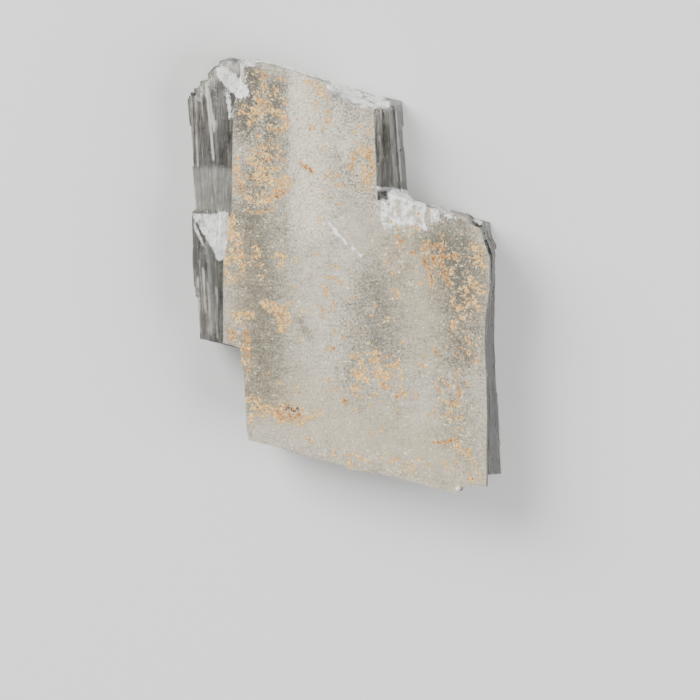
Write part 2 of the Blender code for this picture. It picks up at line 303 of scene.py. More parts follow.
# %% The shapes that wear takes
LEDGE_SEED = 7
LEDGE_LEVELS, LEDGE_BLOCKS = 24, 40
LEDGE_HEIGHT, LEDGE_LENGTH = 0.42, 2.6
MOSTLY_SHALLOW = 3
PIT_SPACING, PIT_REACH, PIT_SLOPE = 1.6, 0.32, 3.0
PITTED = (6.0, 40.0, 0.35)
random_numbers = np.random.default_rng(LEDGE_SEED)
ledge_depths = random_numbers.random((LEDGE_LEVELS, LEDGE_BLOCKS)) ** MOSTLY_SHALLOW
ledge_offsets = random_numbers.random(LEDGE_LEVELS) * LEDGE_BLOCKS
rows_and_columns = np.linalg.inv(np.array((ROW, COLUMN)).T)
plan = (points[:, :2] - points[:, 2:] * np.array(LEAN)) @ rows_and_columns.T


def swell(place, size, offset=0.0):
    """Smooth noise from 0 to 1 with features of this size, in millimetres."""
    return 0.5 + 0.5 * noise.noise(Vector(place) / size + Vector((offset, offset, offset)))


def wave(place, depth, size):
    """The depth of a swell at one place, in millimetres."""
    return depth * swell(place, size)


def patches(place, size, offset, level):
    """0 where a swell stays below a level, and more where it rises above it."""
    return max(0.0, swell(place, size, offset) - level)


def pits(place):
    """Round pits where a cell's middle is near, deeper where the weather has bitten more."""
    nearest = noise.voronoi(Vector(place) / PIT_SPACING)[0][0]
    return max(0.0, PIT_REACH - nearest) * PIT_SLOPE * patches(place, *PITTED)


def ledges(place, row, column):
    """Thin blocks lost from a side, each with its own depth."""
    level = int(place[2] / LEDGE_HEIGHT) % LEDGE_LEVELS
    block = int((row + column) / LEDGE_LENGTH + ledge_offsets[level]) % LEDGE_BLOCKS
    return ledge_depths[level, block]


# %% How deep each point is worn
DEEPEST = 0.45
HOLD = 0.6
FLUTE_STRETCH = 0.06
# A wave has a depth and a size, and patches have a size, an offset in the noise and a level. Depths
# and sizes are in millimetres.
FRONT_SWELL, FRONT_FLUTES, FRONT_GRAIN = (0.05, 9.0), (0.04, 1.7), (0.05, 0.8)
TERRACE_FLUTES, TERRACE_SWELL = (0.012, 0.8), (0.03, 4.0)
SIDE_GRAIN = (0.02, 0.7)
BROKEN_LUMPS, BROKEN_GRAIN = (0.20, 1.3), (0.10, 0.5)
PIT_DEPTH, LEDGE_DEPTH = 0.14, 0.085
BACK_DEPTH, BACK_PATCHES = 0.05, (5.0, 9.0, 0.55)
NIBBLE_DEPTH, NIBBLED = 0.22, (1.1, 20.0, 0.45)


def worn(index):
    """The depth worn off one point, in millimetres."""
    place = points[index]
    row, column = plan[index]
    fluted = (row, column * FLUTE_STRETCH, place[2])
    front = wave(place, *FRONT_SWELL) + wave(fluted, *FRONT_FLUTES) + wave(place, *FRONT_GRAIN)
    front = front + PIT_DEPTH * pits(place)
    terrace = wave(fluted, *TERRACE_FLUTES) + wave(place, *TERRACE_SWELL)
    back = BACK_DEPTH * patches(place, *BACK_PATCHES)
    held = min(1.0, place[2] / HOLD, (plate_size.z - place[2]) / HOLD)
    side = (LEDGE_DEPTH * ledges(place, row, column) + wave(place, *SIDE_GRAIN)) * held
    broken = (wave(place, *BROKEN_LUMPS) + wave(place, *BROKEN_GRAIN)) * held
    parts = (front, terrace, back, side, broken)
    depth = sum(part * in_zone[name][index] for name, part in zip(ZONES, parts))
    return depth + on_edge[index] * NIBBLE_DEPTH * patches(place, *NIBBLED)


wear_depths = np.array([worn(index) for index in range(point_count)])
wear = crystal.vertex_groups.new(name="wear")
for index, depth in enumerate(wear_depths):
    wear.add([index], min(1.0, depth / DEEPEST), "REPLACE")
print(f"wear: {wear_depths.mean():.3f} mm on average, {wear_depths.max():.2f} mm at most")

# %% Cut the wear
carve = crystal.modifiers.new("carve", "DISPLACE")
carve.vertex_group = "wear"
carve.strength = -DEEPEST * MM
carve.mid_level = 0.0
bpy.ops.object.modifier_apply(modifier=carve.name)
EDGE_ANGLE = math.radians(28)
bpy.ops.object.shade_smooth_by_angle(angle=EDGE_ANGLE)

# %% Keep every point within the plate's height
mesh = crystal.data
worn_points = np.zeros(point_count * 3, np.float32)
mesh.vertices.foreach_get("co", worn_points)
outside = (worn_points[2::3] < solid_low.z) | (worn_points[2::3] > solid_high.z)
worn_points[2::3] = np.clip(worn_points[2::3], solid_low.z, solid_high.z)
mesh.vertices.foreach_set("co", worn_points)
print(f"points pressed back: {int(outside.sum())}")

# %% [markdown]
# ## Painting the frost, the bruises and the stains
#
# Frost, white bruises and iron stains each lie in their own places. They are painted like strokes of
# a soft brush: a path over the plate in millimetres, how far the brush reaches, and how strongly it
# paints. The material later breaks every stroke up into grains and crusts, so a stroke only says
# where a finish is and how much of it. A texture image could hold all this too, but strokes stay
# sharp at any size and are easy to change one by one.

# %% A soft brush and a patch
NOT_ZERO = 1e-9


def off_path(path):
    """How far each point lies from a path over the plate."""
    nearest = np.full(point_count, np.inf)
    spots = np.array(path, float)
    for start, end in zip(spots, spots[1:] if len(spots) > 1 else spots):
        run = end - start
        along = np.clip((points[:, :2] - start) @ run / max(run @ run, NOT_ZERO), 0, 1)
        nearest = np.minimum(nearest, np.linalg.norm(points[:, :2] - start - along[:, None] * run, axis=1))
    return nearest


def brushed(strokes):
    """The most that any stroke lays on each point. A stroke fades smoothly towards its reach."""
    laid = np.zeros(point_count)
    for path, reach, strength in strokes:
        near = np.clip(1 - off_path(path) / reach, 0, 1)
        laid = np.maximum(laid, strength * near * near * (3 - 2 * near))
    return laid


def patched(corners, softness):
    """1 inside a patch with these corners, clockwise, and 0 outside it."""
    inside = np.full(point_count, np.inf)
    spots = np.array(corners, float)
    for start, end in zip(spots, np.roll(spots, -1, axis=0)):
        run = (end - start) / np.linalg.norm(end - start)
        offset = points[:, :2] - start
        inside = np.minimum(inside, offset[:, 0] * run[1] - offset[:, 1] * run[0])
    return np.clip(MIDDLE + inside / softness, 0, 1)


# %% [markdown]
# ### Frost on the front
#
# The front is frosted all over, but not evenly. A light band runs down the head, and greyer, clearer
# ground lies on both sides of it. Where the face is etched, the frost is grainier.

# %% Frost on the front
FRONT_FROST = 0.48
LIGHTER = [
    ([(-4.6, 6.0), (-4.6, -0.8), (-3.2, -15.2), (-4.3, -24.8)], 5.0, 0.12),
    ([(-6.0, -22.0), (2.0, -26.0)], 5.0, 0.12),
    ([(12.8, -19.2), (12.0, -24.8)], 4.0, 0.12),
    ([(-12.0, -24.5), (2.0, -27.0), (16.0, -30.0)], 3.5, 0.08),
    ([(8.0, 9.6), (14.0, 8.6)], 4.0, 0.15),
    ([(0.5, 8.0), (-0.5, -1.0)], 4.0, 0.12),
]
BAND_SIDE = [(-9.1, 33.0), (30.0, 33.0), (30.0, -40.0), (-8.4, -40.0)]
BAND_STROKES = [
    ([(-7.0, 31.0), (-6.0, 20.0), (-5.6, 9.0)], 5.4, 0.34),
    ([(-3.0, 24.0), (0.6, 21.0)], 4.2, 0.20),
]
BAND_EDGE = 0.5
GREYER = [
    ([(4.8, -2.0), (5.9, -11.2)], 6.5, 0.20),
    ([(2.2, -8.0), (1.0, -17.0)], 4.0, 0.08),
    ([(15.2, 6.0), (18.1, 1.6), (18.4, -4.0)], 7.0, 0.36),
    ([(18.4, -4.0), (18.6, -12.0)], 6.0, 0.26),
    ([(16.0, -18.0), (18.0, -28.0)], 5.0, 0.10),
    ([(-15.2, 9.0), (-13.9, -0.8), (-13.3, -12.0), (-13.3, -18.6)], 6.5, 0.29),
    ([(-10.8, 8.0), (-10.8, 1.0)], 3.0, 0.12),
    ([(-16.0, 24.0), (-15.2, 31.6)], 4.0, 0.40),
    ([(-12.0, 21.8), (-11.2, 30.0)], 3.0, 0.32),
    ([(-14.6, 14.0), (-12.0, 20.5)], 4.2, 0.24),
    ([(8.6, 5.5), (9.0, -2.0)], 4.0, 0.10),
    ([(-7.3, -7.0), (-5.2, -10.8)], 1.3, 0.13),
]
band = brushed(BAND_STROKES) * patched(BAND_SIDE, BAND_EDGE)
front_frost = FRONT_FROST + brushed(LIGHTER) + band - brushed(GREYER)
print(f"front frost from {front_frost.min():.2f} to {front_frost.max():.2f}")
ETCHED = [
    ([(-6.5, 30.0), (-5.5, 8.0)], 6.0, 0.85),
    ([(0.0, 24.0), (3.0, 15.0)], 6.0, 0.75),
    ([(-15.0, 27.0), (-14.0, 12.0)], 5.0, 0.40),
    ([(18.0, 0.0), (18.0, -16.0)], 6.0, 0.30),
    ([(0.0, 0.0), (-2.0, -24.0)], 6.0, 0.25),
]
etched = brushed(ETCHED)
print(f"etched points: {int((etched > 0).sum())}")

# %% [markdown]
# ### White bruises
#
# Where a blow opened fine cracks just under the surface, clear crystal turned white. Such bruises lie
# at corners and steps, and one scratch crosses the front. A real bruise lies inside the crystal.
# Painted on the surface, it looks alike from outside, and the plate stays one solid piece.

# %% White bruises
BRUISE_STROKES = [
    ([(-19.3, 32.1), (-17.9, 30.8), (-16.6, 29.4)], 2.0, 1.6),
    ([(-16.4, 29.0), (-15.8, 28.6)], 1.0, 0.9),
    ([(-19.0, 30.0), (-18.4, 27.2), (-18.3, 25.0)], 0.9, 0.8),
    ([(-20.8, 30.0), (-20.4, 25.6)], 0.8, 0.45),
    ([(-20.4, 33.2), (-17.8, 33.8), (-14.4, 33.6)], 1.0, 0.65),
    ([(-16.6, 33.4), (-15.6, 31.0)], 0.7, 0.5),
    ([(-16.6, 34.5), (-13.5, 34.4), (-8.8, 33.1), (-2.5, 31.1)], 0.8, 0.9),
    ([(-19.4, 9.6), (-19.2, 6.4), (-20.0, 3.0)], 1.3, 1.2),
    ([(20.9, 8.9), (21.6, 8.4)], 0.8, 0.8),
    ([(17.8, -34.4), (18.3, -33.9)], 0.7, 0.8),
    ([(-2.6, 30.0), (1.0, 28.3), (4.8, 26.8)], 0.7, 0.9),
    ([(-1.6, 30.2), (2.0, 28.9)], 1.6, 1.1),
    ([(0.4, 28.6), (3.4, 27.4)], 1.4, 0.9),
    ([(3.8, 28.4), (6.6, 27.2)], 1.4, 0.9),
    ([(7.2, 13.2), (10.6, 12.2)], 1.5, 1.2),
    ([(10.8, 12.0), (13.0, 10.6)], 0.9, 1.0),
    ([(12.2, 10.2), (12.8, 7.4)], 0.9, 1.1),
    ([(13.8, 10.4), (14.2, 9.6)], 0.8, 0.9),
    ([(16.0, 9.6), (17.6, 9.0)], 0.8, 0.6),
    ([(5.2, 13.8), (10.0, 13.3), (14.5, 11.7), (19.2, 10.2)], 0.7, 0.9),
    ([(6.0, 12.6), (6.2, 9.4)], 0.7, 0.8),
    ([(5.0, 11.6), (4.9, 9.4)], 0.5, 0.6),
    ([(-2.6, 8.3), (-2.1, 7.6)], 0.50, 0.95),
    ([(-1.9, 7.4), (-1.2, 6.5)], 0.55, 1.10),
    ([(-0.9, 6.2), (-0.5, 5.7)], 0.50, 0.95),
    ([(-0.2, 5.6), (0.3, 4.7)], 0.45, 0.95),
    ([(0.9, 4.5), (1.4, 4.1)], 0.50, 0.90),
    ([(2.1, 3.5), (2.6, 3.0)], 0.50, 0.90),
]

# %% Patches of bruise, and the cracks that part them
BRUISE_PATCHES = [
    ([(-24.8, 9.9), (-18.7, 9.8), (-20.0, 2.0)], 0.5, 0.85),
    ([(-2.2, 31.4), (7.0, 29.2), (7.0, 25.9), (1.6, 26.7), (-1.6, 28.0)], 1.2, 0.60),
    (
        [(5.2, 13.6), (9.6, 13.4), (19.0, 10.6), (16.6, 9.2), (14.0, 6.8), (8.8, 6.6), (5.3, 7.3)],
        2.0,
        0.60,
    ),
]
BRUISE_CRACKS = [
    ([(13.3, 10.8), (13.1, 8.6), (13.3, 7.6)], 0.5, 1.4),
    ([(11.2, 11.2), (11.0, 9.4)], 0.5, 0.4),
    ([(8.6, 11.6), (8.4, 9.6)], 0.6, 0.4),
]
BRUISE_LOWEST = 4.6
LEFT_SIDE = -12.0
bruise = brushed(BRUISE_STROKES)
for corners, softness, strength in BRUISE_PATCHES:
    bruise = np.maximum(bruise, strength * patched(corners, softness))
bruise = np.maximum(bruise - brushed(BRUISE_CRACKS), 0.0)
bruise[(points[:, 2] < BRUISE_LOWEST) & (points[:, 0] < LEFT_SIDE)] = 0.0
print(f"bruised points: {int((bruise > 0).sum())}")

# %% [markdown]
# ### Crusts of cream and rust
#
# Iron and lime crept in along tiny cracks and dried as thin crusts, from cream to rust red. There are
# hundreds of small ones, too many to place by hand. So a field only says where crusts lie, how far
# from its path they spread and how many there are, and short winding strokes are scattered over it
# from a fixed seed. The larger crusts are then painted one by one.

# %% Fields of small crusts
FIELDS = [
    ([(-15.0, 31.5), (-13.4, 24.0), (-12.8, 12.0)], 3.8, 42),
    ([(-13.3, 29.0), (-10.5, 24.0)], 2.2, 12),
    ([(-14.0, 17.5), (-12.0, 12.5)], 3.0, 26),
    ([(2.2, 23.0), (3.4, 14.0)], 1.7, 28),
    ([(-17.6, 8.0), (-17.0, 0.0)], 1.9, 22),
    ([(-12.0, -5.0), (-10.0, -7.5)], 1.5, 14),
    ([(1.0, -16.0), (5.0, -14.5), (8.0, -17.0)], 2.8, 36),
    ([(19.0, 5.0), (20.5, -5.0), (19.5, -13.0)], 2.9, 34),
    ([(13.0, 5.0), (15.0, -1.0)], 2.3, 8),
    ([(16.0, -17.0), (19.0, -27.0), (20.0, -32.0)], 3.2, 38),
    ([(-2.0, -28.0), (12.0, -31.0)], 2.5, 18),
    ([(-14.5, -20.6), (-9.0, -22.0), (-6.0, -22.6)], 1.6, 44),
    ([(-17.0, -6.0), (-16.0, -16.0)], 1.6, 12),
    ([(-10.0, 0.0), (10.0, -24.0)], 11.0, 76),
    ([(-6.0, 28.0), (-2.0, 10.0)], 4.0, 14),
    ([(10.0, 8.0), (9.0, -3.0)], 3.0, 14),
]
CRUST_SEED = 31
CREEP, WINDING, LONGEST_CREEP = 0.42, 0.8, 4
CREEP_REACH, CREEP_STRENGTH = (0.30, 0.62), (0.7, 1.15)
SCATTER = 0.5
random_numbers = np.random.default_rng(CRUST_SEED)


def creeping(middle):
    """A short winding stroke, as a crust creeps along tiny cracks."""
    heading = random_numbers.uniform(0.0, math.tau)
    path = [middle]
    for _ in range(random_numbers.integers(0, LONGEST_CREEP + 1)):
        heading += random_numbers.normal(0.0, WINDING)
        path.append(path[-1] + CREEP * np.array((math.cos(heading), math.sin(heading))))
    return path, random_numbers.uniform(*CREEP_REACH), random_numbers.uniform(*CREEP_STRENGTH)


small_crusts = []
for path, reach, count in FIELDS:
    spots = np.array(path)
    for _ in range(count):
        leg = random_numbers.integers(len(spots) - 1)
        on_leg = spots[leg] + (spots[leg + 1] - spots[leg]) * random_numbers.random()
        small_crusts.append(creeping(on_leg + random_numbers.normal(0.0, reach * SCATTER, 2)))
print(f"small crusts: {len(small_crusts)}")

# %% Larger crusts
CRUST = [
    ([(-13.3, 31.2)], 0.9, 0.85),
    ([(-13.9, 26.6), (-12.6, 27.8)], 0.9, 0.85),
    ([(-12.3, 26.4), (-10.7, 25.9), (-9.4, 24.8), (-9.3, 23.5), (-10.4, 23.0), (-12.0, 23.5)], 1.0, 0.8),
    ([(-6.1, 30.9), (-4.3, 29.9), (-3.0, 28.5)], 1.3, 0.6),
    ([(-2.7, 25.9), (-3.0, 24.6)], 1.0, 0.75),
    ([(-13.3, 20.0), (-12.3, 18.7)], 1.6, 0.85),
    ([(-17.4, 16.8), (-16.8, 14.9)], 1.5, 0.9),
    ([(-14.9, 18.4), (-13.3, 17.1)], 1.6, 0.85),
    ([(-14.2, 15.8), (-11.7, 14.9)], 1.6, 0.85),
    ([(-11.4, 12.6), (-9.8, 13.6), (-9.3, 14.9)], 1.8, 1.0),
    ([(-15.5, 12.2), (-13.3, 11.8), (-11.7, 11.7)], 1.2, 0.8),
    ([(-18.6, 9.4), (-17.9, 8.2), (-18.4, 6.2)], 1.4, 0.95),
    ([(-18.9, 2.1), (-17.8, 4.5), (-16.3, 3.0), (-16.3, 0.2), (-17.8, -1.0), (-19.0, 0.5)], 1.0, 0.72),
    ([(-14.2, 4.5), (-13.9, 2.7)], 1.2, 0.7),
    ([(-11.4, 2.7), (-10.2, 3.7), (-9.8, 2.1), (-10.7, 1.1)], 0.8, 0.72),
    ([(-12.6, -4.8), (-11.4, -5.4), (-10.1, -6.1), (-9.6, -7.5), (-10.1, -8.6)], 1.5, 1.0),
    ([(-17.1, -6.6)], 2.2, 0.7),
    ([(-13.9, -20.9), (-12.3, -21.4), (-10.7, -22.0), (-9.0, -22.8), (-7.6, -22.6)], 1.6, 0.9),
    ([(-6.9, -22.9), (-5.3, -22.7), (-3.7, -22.2)], 0.9, 0.85),
    ([(-15.7, -20.0), (-14.9, -19.4), (-14.1, -20.5), (-14.9, -21.4)], 0.8, 0.8),
    ([(1.4, -15.5), (2.6, -15.7)], 0.9, 0.9),
    ([(2.4, -16.6), (3.0, -16.5)], 1.0, 0.95),
    ([(4.8, -13.8), (5.4, -14.7), (5.0, -15.8)], 1.0, 1.0),
    ([(5.0, -15.8), (6.1, -16.3), (6.9, -15.7)], 1.1, 1.0),
    ([(6.2, -14.6), (7.5, -14.4), (8.5, -14.2)], 0.7, 1.0),
    ([(8.2, -14.4), (9.0, -15.4), (9.1, -16.5)], 0.6, 1.0),
    ([(6.4, -17.6), (7.0, -18.1)], 0.9, 0.9),
    ([(8.2, -19.4), (9.4, -19.0)], 1.0, 1.0),
    ([(20.2, 4.8), (21.8, 3.7)], 1.3, 0.8),
    ([(21.3, 2.7), (22.2, 1.1)], 1.3, 0.8),
    ([(20.6, -1.6), (22.1, -2.7)], 1.3, 0.8),
    ([(20.0, -4.0), (21.6, -5.3)], 1.3, 0.75),
    ([(17.1, -4.0), (18.1, -5.6)], 1.2, 0.65),
]

# %% Rust
RUST = [
    ([(-13.6, 32.2)], 0.9, 1.0),
    ([(-12.5, 31.8)], 0.8, 1.0),
    ([(-16.2, 26.9), (-16.3, 25.8)], 0.6, 0.9),
    ([(-13.6, 26.9), (-12.7, 27.8)], 0.7, 0.7),
    ([(-11.9, 23.2), (-10.6, 23.0)], 0.7, 0.7),
    ([(-17.0, 14.2), (-16.6, 13.3)], 1.5, 0.7),
    ([(-11.0, 12.3), (-9.9, 13.3)], 1.4, 0.75),
    ([(-15.7, 10.4), (-14.9, 9.9), (-13.9, 9.8), (-12.8, 10.1), (-11.5, 10.4)], 0.5, 1.0),
    ([(-7.2, 17.8), (-6.2, 17.1), (-5.3, 16.5)], 0.9, 0.85),
    ([(-3.0, 15.8), (-1.1, 15.8)], 1.0, 0.6),
    ([(1.6, 20.0), (1.1, 17.1)], 0.9, 0.7),
    ([(3.8, 20.3), (4.3, 17.6), (4.0, 13.9)], 1.0, 0.75),
    ([(-18.2, -9.0), (-17.9, -10.2)], 1.0, 0.9),
    ([(-15.8, -9.3), (-15.5, -10.9)], 1.0, 1.0),
    ([(-16.5, -11.7), (-15.5, -12.3), (-15.2, -13.9), (-15.5, -15.4)], 0.55, 0.9),
    ([(-10.4, -6.6), (-10.0, -7.6)], 1.0, 0.6),
    ([(-11.0, -21.8), (-9.4, -22.4)], 1.0, 0.6),
    ([(-8.9, -21.0), (-8.0, -21.9), (-7.2, -22.6)], 1.1, 0.7),
    ([(-10.5, -22.6), (-8.6, -23.2), (-7.4, -22.8)], 1.0, 0.8),
    ([(-7.5, -18.1), (-7.4, -18.9)], 0.6, 1.0),
    ([(-2.7, -18.6), (-1.9, -18.1), (-1.0, -18.1)], 0.5, 1.0),
    ([(0.0, -20.2)], 1.2, 1.0),
    ([(6.4, -17.6), (7.0, -18.1)], 0.8, 0.6),
    ([(8.2, -19.4), (9.4, -19.0)], 0.8, 0.5),
    ([(-2.9, -12.0), (-1.8, -11.8)], 0.6, 0.8),
    ([(1.0, -8.6)], 0.7, 0.8),
    ([(-0.3, -10.1)], 0.8, 0.6),
    ([(-3.0, -0.6), (-1.9, -0.3)], 0.7, 0.7),
    ([(-3.5, -5.8), (-3.7, -6.9)], 0.6, 0.8),
    ([(11.7, 9.8)], 0.6, 1.0),
    ([(11.7, 9.0)], 0.5, 0.9),
    ([(7.4, 8.3)], 0.7, 1.0),
    ([(10.6, 7.4)], 0.8, 1.1),
    ([(8.5, 5.9), (9.1, 5.3)], 0.8, 1.1),
    ([(7.0, 2.4)], 0.6, 1.0),
    ([(8.3, 2.6)], 0.5, 0.8),
    ([(10.7, 3.5), (11.4, 3.4)], 0.6, 1.1),
    ([(12.6, 4.3), (14.1, 4.6), (15.4, 4.8), (15.8, 4.2)], 0.7, 1.1),
    ([(14.2, 2.7), (14.2, 2.1)], 0.9, 1.1),
    ([(12.5, 2.7), (12.8, 1.8), (13.4, 0.8)], 0.9, 1.05),
    ([(13.4, 0.8), (13.8, -0.8), (13.8, -2.1)], 0.6, 0.95),
    ([(15.4, 3.0), (15.7, 1.1), (16.2, -0.8), (16.8, -1.8)], 0.75, 1.05),
    ([(16.2, 2.9), (17.1, 2.9), (18.1, 3.2)], 0.6, 1.0),
    ([(14.6, -0.2), (15.4, 0.5)], 0.6, 0.95),
    ([(15.4, 5.1), (15.7, 5.9), (15.2, 6.4)], 0.6, 0.8),
    ([(19.0, 0.5), (20.2, 0.2)], 0.6, 0.7),
    ([(14.2, -11.5), (14.7, -12.6)], 0.7, 0.9),
    ([(12.6, -12.8)], 0.5, 0.9),
    ([(17.9, -17.1), (18.4, -19.0), (17.9, -20.3), (16.6, -21.8), (15.8, -22.6)], 0.6, 0.9),
    ([(14.1, -26.7), (15.5, -26.7), (17.1, -26.4), (17.9, -26.1)], 0.6, 1.0),
    ([(11.8, -25.8)], 0.6, 0.9),
    ([(13.3, -30.1)], 0.7, 0.9),
    ([(19.8, -31.4), (20.5, -32.3)], 0.7, 0.8),
]

# %% Warm ground and dark granules
WARMER = [
    ([(-14.0, -18.0), (0.0, -24.0), (16.0, -29.0)], 9.0, 0.55),
    ([(-15.0, 6.0), (-15.0, -16.0)], 6.0, 0.45),
    ([(8.0, 4.0), (16.0, -10.0)], 9.0, 0.45),
]
UMBER = [
    ([(-17.0, 14.2), (-16.6, 13.3)], 1.2, 0.7),
    ([(-11.0, 12.3), (-9.9, 13.3)], 0.9, 0.6),
    ([(-11.5, 18.2)], 0.8, 0.6),
    ([(-9.3, -21.0), (-8.4, -21.5)], 1.2, 1.3),
    ([(-7.6, -21.3), (-7.3, -22.2)], 0.9, 1.1),
    ([(-8.8, -22.4)], 1.0, 1.0),
    ([(-10.3, -22.3)], 0.6, 0.6),
    ([(-12.0, -18.6)], 0.5, 1.3),
    ([(14.2, 2.4)], 0.7, 0.9),
    ([(12.7, 2.2)], 0.6, 0.7),
    ([(8.7, 5.7)], 0.5, 0.7),
]

# %% Paint the stains
STAIN_SPREAD, STAIN_STRENGTH, WIDEST_STAIN = 1.4, 0.8, 5
rust = brushed(RUST)
crust = np.maximum(brushed(CRUST + small_crusts), rust)
umber = brushed(UMBER)
stain_strokes = [
    (path, reach * STAIN_SPREAD, STAIN_STRENGTH) for path, reach, _ in FIELDS if reach < WIDEST_STAIN
]
stained = brushed(stain_strokes)
print(f"strokes of crust: {len(CRUST) + len(RUST) + len(UMBER)}")

# %% [markdown]
# ### Streaks, haze, film and smoke in the clear ledges
#
# The low ledges are clear, so what shows there are flaws that run along the columns: thin white
# streaks, soft haze, and a faint rainbow film where a hairline crack holds air. Painted shade darkens
# the clear crystal in the ledges on the right.

# %% Streaks and haze
STREAKS = [
    ([(-24.6, 28.5), (-24.3, 19.5)], 0.30, 0.30),
    ([(-23.9, 29.0), (-23.5, 17.5)], 0.26, 0.50),
    ([(-23.0, 30.0), (-22.8, 24.0)], 0.24, 0.40),
    ([(-22.2, 30.5), (-21.6, 25.0), (-21.0, 18.5)], 0.34, 0.80),
    ([(-21.7, 29.0), (-20.9, 23.0)], 0.30, 0.60),
    ([(-20.8, 24.5), (-20.4, 18.0)], 0.26, 0.50),
    ([(-24.2, 14.0), (-23.8, 10.5)], 0.26, 0.35),
    ([(-23.6, -0.5), (-23.2, -9.0)], 0.30, 0.45),
    ([(-22.6, 1.0), (-22.3, -6.0)], 0.26, 0.40),
    ([(-21.8, -1.5), (-21.5, -9.4)], 0.30, 0.40),
    ([(-20.6, -2.0), (-20.4, -10.0)], 0.30, 0.35),
    ([(9.6, 27.5), (10.3, 20.0), (10.8, 13.0)], 0.30, 0.55),
    ([(8.2, 26.0), (9.0, 15.0)], 0.26, 0.35),
    ([(5.4, 25.0), (5.9, 19.0)], 0.26, 0.40),
    ([(6.4, 24.0), (6.7, 18.0)], 0.22, 0.40),
    ([(24.6, -18.0), (25.0, -32.0)], 0.26, 0.40),
]
HAZE = [
    ([(-23.0, 29.4), (-18.6, 33.6)], 1.9, 1.2),
    ([(-19.8, 29.0), (-20.4, 25.0)], 2.0, 0.7),
    ([(-19.2, 33.6), (-17.0, 32.8)], 1.8, 1.8),
    ([(-22.5, -2.0), (-21.8, -9.0)], 3.0, 0.4),
    ([(5.8, 17.0), (6.0, 14.0)], 1.8, 0.5),
    ([(9.4, 27.0), (10.2, 14.0)], 1.3, 0.3),
    ([(24.3, -25.0), (24.8, -31.0)], 1.6, 0.5),
]

# %% Rainbow film and painted shade
FILM = [
    ([(-24.4, 30.0), (-23.8, 22.0)], 1.6, 1.0),
    ([(-22.4, 29.0), (-21.8, 24.0)], 1.0, 0.8),
    ([(5.6, 24.0), (5.9, 17.0)], 1.2, 1.0),
    ([(-23.6, -1.0), (-22.8, -9.0)], 2.0, 1.0),
    ([(22.8, -4.0), (23.0, -16.0)], 1.0, 0.6),
]
film = brushed(FILM)
# Painted shade: these strokes darken the clear crystal of the ledges on the right.
PAINTED_SHADE_STROKES = [
    ([(24.0, 2.0), (24.4, -32.0)], 5.5, 1.2),
    ([(21.0, 9.0), (24.0, 2.0)], 2.4, 1.1),
    ([(5.4, 25.0), (6.0, 14.0)], 2.0, 0.52),
    ([(8.6, 26.0), (9.6, 14.0)], 2.6, 0.62),
]
painted_shade = brushed(PAINTED_SHADE_STROKES).clip(0.0, 1.0)
streaked = brushed(STREAKS)
HAZE_PATCH = [(-25.6, 17.6), (-17.6, 17.0), (-18.0, 9.4), (-25.4, 10.4)]
HAZE_SOFTNESS = 1.2
haze = np.maximum(brushed(HAZE), patched(HAZE_PATCH, HAZE_SOFTNESS))
print(f"hazy points: {int((haze > 0).sum())}, smoky points: {int((painted_shade > 0).sum())}")

# %% [markdown]
# ### Each layer ends at an edge
#
# The front, the low terraces and the sides each get their own share of every layer. A value kept at
# a point would blur across an edge, so the layers are kept at the faces' corners. One layer is painted
# shade, which darkens the clear crystal, "side" and "front" mark those faces, and "edge" marks sharp
# edges, which get chipped frost and a painted highlight.

# %% Lay the painting on the mesh
TERRACE_FROST = 0.17
BACK_FROST = 0.35
SIDE_FROST = 0.04
# Painted shade clears frost from broken faces and darkens the clear crystal: half strength on the front
# and the terraces, 0.8 of its strokes on the sides.
BROKEN_FROST, PAINTED_SHADE_CLEARS_BREAKS = 0.62, 0.45
TOP_PAINTED_SHADE, SIDE_PAINTED_SHADE = 0.50, 0.8
SIDE_FILM = 0.4
FAN = [(-26.0, 10.2), (-18.4, 10.2), (-19.8, 0.8)]
FAN_STRENGTH, FAN_SOFTNESS = 0.75, 0.5


def lay(name, values_by_zone):
    """Stores one painted layer at the faces' corners, so that it can end sharply at an edge."""
    layer = mesh.attributes.new(name, "FLOAT", "CORNER")
    values = np.zeros(len(corner_point), np.float32)
    for number, zone_name in enumerate(ZONES):
        here = zone[corner_face] == number
        values[here] = np.broadcast_to(values_by_zone[zone_name], point_count)[corner_point[here]]
    layer.data.foreach_set("value", values)


nothing = dict.fromkeys(ZONES, 0.0)
fan = np.maximum(bruise, FAN_STRENGTH * patched(FAN, FAN_SOFTNESS))
side_painted_shade = painted_shade * SIDE_PAINTED_SHADE
lay(
    "frost",
    {
        "front": front_frost,
        "terrace": TERRACE_FROST + streaked,
        "back": BACK_FROST,
        "side": SIDE_FROST + streaked,
        "broken": BROKEN_FROST - painted_shade * PAINTED_SHADE_CLEARS_BREAKS,
    },
)
lay("bruise", dict.fromkeys(ZONES, bruise) | {"back": 0.0, "broken": fan})
lay("crust", nothing | {"front": crust})
lay("rust", nothing | {"front": rust})
lay("umber", nothing | {"front": umber})
lay("front", nothing | {"front": 1.0})
lay("side", nothing | {"side": 1.0})
lay("haze", nothing | {"terrace": haze, "side": haze, "broken": haze})
terrace_painted_shade = painted_shade.clip(TOP_PAINTED_SHADE)
# The painted shade layer, on every zone but the back.
lay("painted_shade", nothing | {"front": TOP_PAINTED_SHADE, "terrace": terrace_painted_shade, "side": side_painted_shade, "broken": side_painted_shade})
lay("film", dict.fromkeys(ZONES, film * SIDE_FILM) | {"front": 0.0, "terrace": film})
lay("stained", nothing | {"front": stained})
lay("warmer", nothing | {"front": brushed(WARMER)})
lay("etched", nothing | {"front": etched})
# Sharp edges, where chipped frost and a painted highlight lie.
lay("edge", dict.fromkeys(ZONES, on_edge))
print(f"layers: {[layer.name for layer in mesh.attributes if layer.domain == 'CORNER']}")

